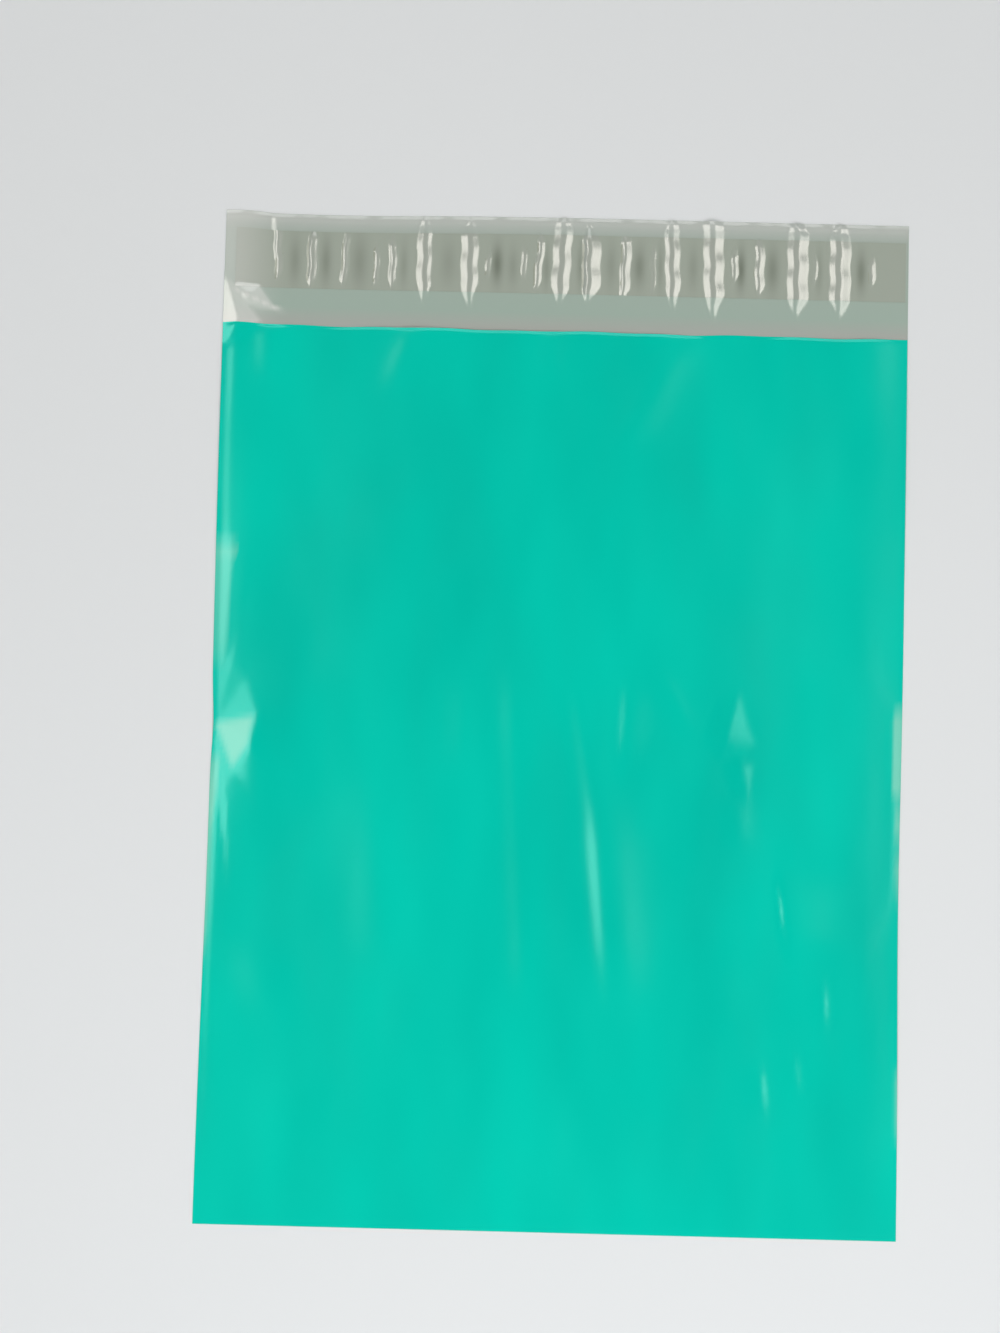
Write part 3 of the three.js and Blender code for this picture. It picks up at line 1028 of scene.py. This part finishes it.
@dataclass(frozen=True)
class InnerFilm:
    """The grey inner face of the film, which shows on the flap.

    Attributes:
        bands: Colours along the flap, each with its distance from the free edge in metres; the lightest,
            at the free edge, is a painted highlight.
        highlight_colour: Colour of the painted highlights on the flap's crumpled left corner.
        reflects: How much it reflects, where 0.5 is one face of film and 1 is both.
        glossiest: Roughness where it is smoothest.
        dullest: Roughness where it is hazy.
        grain: Depth of the fine relief, in metres.
    """

    bands: tuple[tuple[float, Colour], ...] = (
        # The lightest stop, along the free edge, is a painted highlight; the others are the film's own
        # tints.
        (0.002, (0.46, 0.49, 0.46)),
        (0.007, (0.37, 0.43, 0.385)),
        (0.036, (0.34, 0.43, 0.375)),
        (0.042, (0.385, 0.405, 0.375)),
    )
    highlight_colour: Colour = (0.70, 0.71, 0.68)
    reflects: float = 0.8
    glossiest: float = 0.15
    dullest: float = 0.19
    grain: float = 0.000004

    def material(self) -> bpy.types.Material:
        """The sheet's own length, kept in its UV map in metres, runs through the colours.

        Returns:
            The material.
        """
        graph = Graph("grey_film")
        place = graph.node("ShaderNodeUVMap", uv_map="sheet")
        parts = graph.node("ShaderNodeSeparateXYZ")
        graph.link(place.outputs["UV"], parts.inputs["Vector"])
        # Painted highlight: the mesh's mark lays a light colour over the flap's crumpled corner.
        painted_highlight = graph.node("ShaderNodeAttribute", attribute_name="painted_highlight").outputs["Fac"]
        colour = graph.fade(painted_highlight, graph.bands(parts.outputs["Y"], self.bands), self.highlight_colour)
        graph.link(colour, graph.shader.inputs["Base Color"])
        graph.shader.inputs["Specular IOR Level"].default_value = self.reflects
        haze = graph.noise((0.01, 0.02, 0.01), 2.0)
        roughness = graph.between(haze, 0.2, 0.8, self.glossiest, self.dullest)
        graph.link(roughness, graph.shader.inputs["Roughness"])
        graph.bump(graph.noise((0.004, 0.008, 0.004), 1.0), self.grain)
        return graph.material


@dataclass(frozen=True)
class LinerFilm:
    """The clear release film, with painted shade in patches between its ripples, and a little lighter
    where it has lifted.

    Attributes:
        shaded: Colour of the painted shade between the ripples.
        lies: Colour where it just lies on it.
        lifted: Colour where it stands off it.
        highlight_colour: Colour of the painted highlights on the crumpled corner below it.
        reflects: How much it reflects, where 0.5 is one face of film and 1 is both.
        glossiest: Roughness where it is smoothest.
        dullest: Roughness where it is hazy.
        grain: Depth of the fine relief, in metres.
    """

    shaded: Colour = (0.19, 0.215, 0.175)
    lies: Colour = (0.355, 0.395, 0.34)
    lifted: Colour = (0.37, 0.40, 0.355)
    highlight_colour: Colour = (0.70, 0.71, 0.68)
    reflects: float = 1.0
    glossiest: float = 0.10
    dullest: float = 0.15
    grain: float = 0.00002

    def material(self) -> bpy.types.Material:
        """The lift that the mesh carries, from -1 to 1, runs through the three colours; below 0 it is
        painted shade.

        Returns:
            The material.
        """
        graph = Graph("liner_film")
        lift = graph.node("ShaderNodeAttribute", attribute_name="lift")
        # Painted shade: a lift of -1 gives the dark colour between the ripples.
        stops = ((-1.0, self.shaded), (0.0, self.lies), (1.0, self.lifted))
        # Painted highlight: the mesh's mark lays a light colour over the crumpled corner.
        painted_highlight = graph.node("ShaderNodeAttribute", attribute_name="painted_highlight").outputs["Fac"]
        colour = graph.fade(painted_highlight, graph.bands(lift.outputs["Fac"], stops), self.highlight_colour)
        graph.link(colour, graph.shader.inputs["Base Color"])
        graph.shader.inputs["Specular IOR Level"].default_value = self.reflects
        haze = graph.noise((0.004, 0.012, 0.004), 2.0)
        roughness = graph.between(haze, 0.2, 0.8, self.glossiest, self.dullest)
        graph.link(roughness, graph.shader.inputs["Roughness"])
        graph.bump(graph.noise((0.003, 0.009, 0.003), 2.0), self.grain)
        return graph.material


@dataclass(frozen=True)
class Glue:
    """The clear, tacky glue under the liner.

    Attributes:
        colour: Colour where the band is thick.
        thin: Colour where it is thin.
        roughness: Roughness all over.
    """

    colour: Colour = (0.30, 0.33, 0.27)
    thin: Colour = (0.34, 0.37, 0.31)
    roughness: float = 0.18

    def material(self) -> bpy.types.Material:
        """Streaks along the band tint the colour and give the relief.

        Returns:
            The material.
        """
        graph = Graph("glue")
        streaks = graph.noise((0.03, 0.0015, 0.01), 3.0)
        graph.link(graph.mix(streaks, self.colour, self.thin), graph.shader.inputs["Base Color"])
        graph.shader.inputs["Roughness"].default_value = self.roughness
        graph.bump(streaks, 0.00003)
        return graph.material


def sheet_mesh(
    name: str, x: Array, y: Array, z: Array, uv: Array, marks: dict[str, Array]
) -> bpy.types.Object:
    """Makes a smooth mesh of four-sided faces from a grid of points.

    Each point joins the next in its row and in its column. Going along a row and then up to
    the next row turns anticlockwise seen from the side that the faces point to.

    Args:
        name: Name of the piece.
        x: Place of each point along X, in millimetres, as rows of columns.
        y: Place along Y, in millimetres.
        z: Place along Z, in millimetres.
        uv: Place of each point on the flat sheet, in metres.
        marks: Values that the mesh carries at each point for its finish, by name.

    Returns:
        The new object.
    """
    rows, columns = x.shape
    number = np.arange(rows * columns).reshape(rows, columns)
    corners = np.stack(
        (number[:-1, :-1], number[:-1, 1:], number[1:, 1:], number[1:, :-1]), axis=-1
    ).reshape(-1, 4)
    points = np.stack((x, y, z), axis=-1).reshape(-1, 3) * MM
    mesh = bpy.data.meshes.new(name)
    mesh.from_pydata(points.tolist(), [], corners.tolist())
    mesh.polygons.foreach_set("use_smooth", np.ones(len(corners), dtype=bool))
    layer = mesh.uv_layers.new(name="sheet")
    layer.data.foreach_set("uv", uv.reshape(-1, 2)[corners.ravel()].ravel())
    for mark, values in marks.items():
        mesh.attributes.new(mark, "FLOAT", "POINT").data.foreach_set("value", values.ravel())
    made = bpy.data.objects.new(name, mesh)
    bpy.context.scene.collection.objects.link(made)
    return made


def thicken(piece: bpy.types.Object, thickness: float, inner_slot: int = 0) -> None:
    """Gives a sheet its thickness, inwards from the faces it has, with crisp cut edges.

    Args:
        piece: The sheet, whose mesh is replaced by the thick one.
        thickness: Thickness in millimetres.
        inner_slot: How many material slots the new inner face is after the outer one.
    """
    wall = piece.modifiers.new("thickness", "SOLIDIFY")
    wall.thickness = thickness * MM
    wall.offset = -1.0
    wall.material_offset = inner_slot
    graph = bpy.context.evaluated_depsgraph_get()
    mesh = bpy.data.meshes.new_from_object(piece.evaluated_get(graph))
    piece.modifiers.clear()
    mesh.name = piece.data.name
    piece.data = mesh
    mesh.set_sharp_from_angle(angle=math.radians(CUT_ANGLE))


def spaced(start: float, end: float, step: float) -> Array:
    """Numbers from start to end in equal steps of about the given size, both ends included."""
    return np.linspace(start, end, max(2, round(abs(end - start) / step) + 1))


@dataclass
class BagFilm:
    """The folded film: back panel with its flap, bottom fold and front panel in one sheet.

    Attributes:
        form: How the film lies.
        outside: Finish of the outer face.
        inside: Finish of the inner face.
        column: Size of a face across the bag.
        ripple_column: The same where a large ripple runs.
        large_ripple: Width from which a ripple is a large one.
        count_step: Step in which the columns are counted up.
        edge_row: Size of a face up the bag, along the free edge of the flap.
        edge_span: How far in from that edge the size holds.
        flap_row: The same on the rest of the flap and just below the mouth.
        back_row: The same on the back panel.
        front_row: The same on the front panel.
        fine_row: The same on the front panel beside the dent.
        corner: How far below the mouth the flap's size holds.
        lip_row: The same on the mouth's lip.
        fine_from: Where the rows beside the dent start.
        fine_to: Where they end.
        fold_rows: How many rows go round the bottom fold.
        fold_bulge: How far the fold bulges out.
    """

    form: BagForm
    outside: OuterFilm
    inside: InnerFilm
    column: float = 1.25
    ripple_column: float = 0.62
    large_ripple: float = 5.0
    count_step: float = 0.1
    edge_row: float = 0.6
    edge_span: float = 4.0
    flap_row: float = 1.55
    back_row: float = 20.0
    front_row: float = 4.1
    fine_row: float = 2.0
    corner: float = 12.0
    lip_row: float = 0.45
    fine_from: float = 154.0
    fine_to: float = 208.0
    fold_rows: int = 9
    fold_bulge: float = 0.1

    def columns(self) -> Array:
        """Places across the sheet, closer together where the larger ripples run.

        The number of columns in a millimetre rises in a bell over each ripple. Summed up across
        the sheet it counts the columns, and the places are where the count is a whole number.

        Returns:
            The places, from the left edge to the right one.
        """
        x = spaced(0.0, self.form.width, self.count_step)
        large = [r for r in self.form.RIPPLES if r.left + r.right > self.large_ripple]
        close = np.max([bell((x - r.at) / (r.left + r.right)) for r in large], axis=0)
        density = 1.0 / self.column + close * (1.0 / self.ripple_column - 1.0 / self.column)
        count = np.concatenate(([0.0], np.cumsum(density[1:] * np.diff(x))))
        return np.interp(np.linspace(0.0, count[-1], round(count[-1]) + 1), count, x)

    def rows(self) -> tuple[Array, Array, Array]:
        """Rows of the sheet, from the free edge of the flap round the fold to the mouth.

        Returns:
            For each row, how far up the bag it is, how far round the fold it has turned, from
            0 on the back to 1 on the front, and its distance along the flat sheet.
        """
        form = self.form
        edge, lip = form.length - self.edge_span, form.pouch - form.lip
        back = np.concatenate((
            spaced(form.length, edge, self.edge_row),
            spaced(edge, form.pouch - self.back_row, self.flap_row)[1:],
            spaced(form.pouch - self.back_row, 0.0, self.back_row)[1:],
        ))
        front = np.concatenate((
            spaced(0.0, self.fine_from, self.front_row),
            spaced(self.fine_from, self.fine_to, self.fine_row)[1:],
            spaced(self.fine_to, form.pouch - self.corner, self.front_row)[1:],
            spaced(form.pouch - self.corner, lip, self.flap_row)[1:],
            spaced(lip, form.pouch, self.lip_row)[1:],
        ))
        fold = np.linspace(0.0, 1.0, self.fold_rows + 2)[1:-1]
        up = np.concatenate((back, np.zeros_like(fold), front))
        turned = np.concatenate((np.zeros_like(back), fold, np.ones_like(front)))
        along = np.concatenate((form.length - back, np.full_like(fold, form.length), form.length + front))
        return up, turned, along

    def build(self) -> bpy.types.Object:
        """Builds the sheet's outer face, row by row, and gives it the film's thickness.

        The height is the underside's on the back and the front panel's on the front. Round the
        fold it goes from one to the other on a half circle that bulges out past the fold.

        Returns:
            The bag.
        """
        form = self.form
        up, turned, along = self.rows()
        x, y = np.meshgrid(self.columns(), up)
        turned = np.broadcast_to(turned[:, None], x.shape)
        share = (1.0 - np.cos(np.pi * turned)) / 2.0
        z = (1.0 - share) * form.underside(x, y) + share * form.outside_front(x, y)
        bulge = self.fold_bulge * np.sin(np.pi * turned)
        uv = np.stack((x * MM, np.broadcast_to(along[:, None] * MM, x.shape)), axis=-1)
        across = form.drawn_in(x, y)
        up = form.set_back(x, y) - bulge + turned * form.mouth_wave(x, y)
        # Painted highlights: the dent and the seal strips on the front, the crumpled corner on the flap.
        front_highlight = np.maximum(form.dent_highlight(x, y), form.seal_highlights(x, y))
        marks = {"painted_highlight": np.where(turned > 0.0, front_highlight, form.flap_highlight(x, y))}
        piece = sheet_mesh(
            "mailer_bag", across - form.width / 2.0, up - form.length / 2.0, z, uv, marks
        )
        for finish in (self.outside, self.inside):
            piece.data.materials.append(finish.material())
        thicken(piece, form.film, Layer.INSIDE.value)
        return piece

    def dress(self, piece: bpy.types.Object) -> None:
        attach(piece, BODY)
        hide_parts("bag_film")


@dataclass
class FlapStrip:
    """A strip that lies on the flap and follows its ripples.

    Attributes:
        name: Name of the piece.
        node: The solid that it stands for.
        slot: The part's material slot; not used.
        finish: Its finish.
        form: How the film below it lies.
        seat: Height of its lower face above the flap.
        thickness: Its thickness.
        column: Size of a face across the bag.
        row: Size of a face up the bag.
    """

    name: str
    node: str
    slot: str
    finish: Glue | LinerFilm
    form: BagForm
    seat: float
    thickness: float
    column: float
    row: float

    def extent(self) -> tuple[float, float, float, float]:
        """The strip's left, right, bottom and top edges, taken from its solid."""
        low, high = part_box(self.node)
        half_width, half_length = self.form.width / 2.0, self.form.length / 2.0
        return (
            low.x / MM + half_width,
            high.x / MM + half_width,
            low.y / MM + half_length,
            high.y / MM + half_length,
        )

    def build(self) -> bpy.types.Object:
        """Builds the strip's upper face, a set height above the flap's, and its thickness.

        The mesh carries how far the strip has lifted off the glue at each point, below 0 where it has
        painted shade, and the painted highlight of the crumpled corner.

        Returns:
            The strip.
        """
        left, right, bottom, top = self.extent()
        x, y = np.meshgrid(spaced(left, right, self.column), spaced(bottom, top, self.row))
        z = self.form.inside_back(x, y) + self.seat + self.thickness
        uv = np.stack((x * MM, y * MM), axis=-1)
        half_width, half_length = self.form.width / 2.0, self.form.length / 2.0
        across, up = self.form.drawn_in(x, y), self.form.set_back(x, y)
        # Painted shade rides on the lift below 0, painted highlight on the other mark.
        marks = {"lift": self.form.lift(x, y), "painted_highlight": self.form.flap_highlight(x, y)}
        piece = sheet_mesh(self.name, across - half_width, up - half_length, z, uv, marks)
        piece.data.materials.append(self.finish.material())
        thicken(piece, self.thickness)
        return piece

    def dress(self, piece: bpy.types.Object) -> None:
        """Ties the strip to the part in place of its solid."""
        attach(piece, BODY)
        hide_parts(self.node)


@dataclass
class ReleaseLiner(FlapStrip):
    """The strip over the glue, which is a sheet of its own until it is peeled off."""

    def dress(self, piece: bpy.types.Object) -> None:
        super().dress(piece)


@dataclass(frozen=True)
class Softbox:
    """A soft lamp.

    Attributes:
        name: Name of the lamp.
        place: Where its middle is, in metres.
        faces: Point on the floor that it faces, in metres.
        size: Its width and its height, in metres.
        radiance: How bright its face is, where 1 is white.
        colour: Colour of its light.
    """

    name: str
    place: Spot
    faces: Point
    size: tuple[float, float]
    radiance: float
    colour: Colour = (1.0, 1.0, 1.0)

    def build(self) -> bpy.types.Object:
        """Makes the lamp. Its power is its radiance times its area times pi.

        Returns:
            The lamp.
        """
        lamp = bpy.data.lights.new(self.name, "AREA")
        lamp.shape = "RECTANGLE"
        lamp.size, lamp.size_y = self.size
        lamp.energy = self.radiance * math.pi * self.size[0] * self.size[1]
        lamp.color = self.colour
        made = bpy.data.objects.new(self.name, lamp)
        made.location = self.place
        away = Vector(self.place) - Vector((*self.faces, 0.0))
        made.rotation_mode = "QUATERNION"
        made.rotation_quaternion = away.to_track_quat("Z", "Y")
        bpy.context.scene.collection.objects.link(made)
        return made


@dataclass(frozen=True)
class Studio:
    """The pale floor, the lamps, the dim room and the camera above the bag.

    Attributes:
        floor_colour: Colour of the floor.
        floor_reach: Half the width of the floor, in metres.
        floor_drop: How far the floor is below the bag, in metres.
        floor_shade: Brightness of the floor's darker clouds beside the rest.
        floor_cloud: Size of those clouds, in metres.
        floor_rough: Roughness of the floor's paint.
        overhead: Brightness of the room straight overhead.
        overhead_from: How high up, from 0 to 1, the room is as dim as that.
        horizon: Brightness of the room at the horizon.
        tint: Colour of the room's light, a little cool beside the lamps.
        lens: Focal length of the camera, in millimetres.
        target: Point on the floor that the camera looks at, in metres.
        distance: Distance of the camera from that point, in metres.
        tilt: How far the camera leans back from straight down, in degrees.
        roll: How far it is turned about its line of sight, in degrees.
    """

    floor_colour: Colour = (0.70, 0.72, 0.735)
    floor_reach: float = 4.0
    floor_drop: float = 0.0001
    floor_shade: float = 0.97
    floor_cloud: float = 0.3
    floor_rough: float = 0.7
    overhead: float = 0.02
    overhead_from: float = 0.95
    horizon: float = 0.62
    tint: Colour = (0.90, 1.0, 1.10)
    lens: float = 85.0
    target: Point = (-0.0210, 0.0182)
    distance: float = 1.1555
    tilt: float = 5.53
    roll: float = 1.45

    LAMPS = (
        Softbox("left_softbox", (-0.73, 0.19, 1.31), (0.0, 0.19), (0.8, 0.54), 5.0, (1.0, 0.95, 0.88)),
        Softbox("right_softbox", (0.77, 0.19, 1.31), (0.0, 0.19), (0.8, 0.54), 5.0, (1.0, 0.95, 0.88)),
        Softbox("near_softbox", (0.09, -0.63, 0.70), (0.0, 0.0), (0.8, 0.34), 5.4),
        Softbox("far_softbox", (0.0, 1.03, 1.22), (0.0, 0.0), (1.0, 0.36), 2.6),
    )

    def floor(self) -> bpy.types.Object:
        """A flat square floor with a faintly uneven, dull paint.

        Returns:
            The floor.
        """
        reach, drop = self.floor_reach, -self.floor_drop
        mesh = bpy.data.meshes.new("floor")
        mesh.from_pydata(
            [(-reach, -reach, drop), (reach, -reach, drop), (reach, reach, drop), (-reach, reach, drop)],
            [],
            [(0, 1, 2, 3)],
        )
        graph = Graph("floor_paint")
        shade = tuple(self.floor_shade * c for c in self.floor_colour)
        clouds = graph.noise((self.floor_cloud,) * 3, 2.0)
        graph.link(
            graph.mix(clouds, self.floor_colour, shade), graph.shader.inputs["Base Color"]
        )
        graph.shader.inputs["Roughness"].default_value = self.floor_rough
        mesh.materials.append(graph.material)
        made = bpy.data.objects.new("floor", mesh)
        bpy.context.scene.collection.objects.link(made)
        return made

    def room(self) -> None:
        """A room that goes smoothly from dim overhead to pale at the horizon."""
        world = bpy.data.worlds.new("room")
        bpy.context.scene.world = world
        world.use_nodes = True
        tree = world.node_tree
        tree.nodes.clear()
        place = tree.nodes.new("ShaderNodeTexCoord")
        parts = tree.nodes.new("ShaderNodeSeparateXYZ")
        fade = tree.nodes.new("ShaderNodeValToRGB")
        light = tree.nodes.new("ShaderNodeBackground")
        output = tree.nodes.new("ShaderNodeOutputWorld")
        fade.color_ramp.interpolation = "EASE"
        low, high = fade.color_ramp.elements
        low.color = (*(self.horizon * c for c in self.tint), 1.0)
        high.color = (*(self.overhead * c for c in self.tint), 1.0)
        high.position = self.overhead_from
        tree.links.new(place.outputs["Generated"], parts.inputs["Vector"])
        tree.links.new(parts.outputs["Z"], fade.inputs["Fac"])
        tree.links.new(fade.outputs["Color"], light.inputs["Color"])
        tree.links.new(light.outputs["Background"], output.inputs["Surface"])

    def camera(self) -> bpy.types.Object:
        """The camera, on a line from its target that leans back and rolls.

        Returns:
            The camera.
        """
        lens = bpy.data.cameras.new("camera")
        lens.lens = self.lens
        turn = Euler((math.radians(self.tilt), 0.0, math.radians(self.roll)))
        back = turn.to_matrix() @ Vector((0.0, 0.0, 1.0))
        made = bpy.data.objects.new("camera", lens)
        made.location = Vector((*self.target, 0.0)) + back * self.distance
        made.rotation_euler = turn
        bpy.context.scene.collection.objects.link(made)
        bpy.context.scene.camera = made
        return made

    def build(self) -> None:
        """Sets up the floor, the lamps, the room, the camera and plain colour."""
        self.floor()
        for lamp in self.LAMPS:
            lamp.build()
        self.room()
        self.camera()
        bpy.context.scene.view_settings.view_transform = "Standard"


def main() -> None:
    """Loads the part, builds and dresses each piece, sets up the studio and logs how many faces each piece
    has.
    """
    logging.basicConfig(level=logging.INFO, format="%(name)s: %(message)s")
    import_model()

    low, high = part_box("bag_film")
    form = BagForm(width=(high.x - low.x) / MM, pouch=POUCH, length=(high.y - low.y) / MM)
    pieces = (
        BagFilm(form, OuterFilm(), InnerFilm()),
        FlapStrip(
            "glue", "glue_band", "glue", Glue(), form, seat=0.02, thickness=0.04, column=1.3, row=1.6
        ),
        ReleaseLiner(
            "liner", "release_liner", "liner_film", LinerFilm(), form,
            seat=0.08, thickness=0.05, column=0.6, row=0.8,
        ),
    )
    for piece in pieces:
        made = piece.build()
        piece.dress(made)
        LOG.info("%s: %d faces", made.name, len(made.data.polygons))
    Studio().build()


if __name__ == "__main__":
    main()
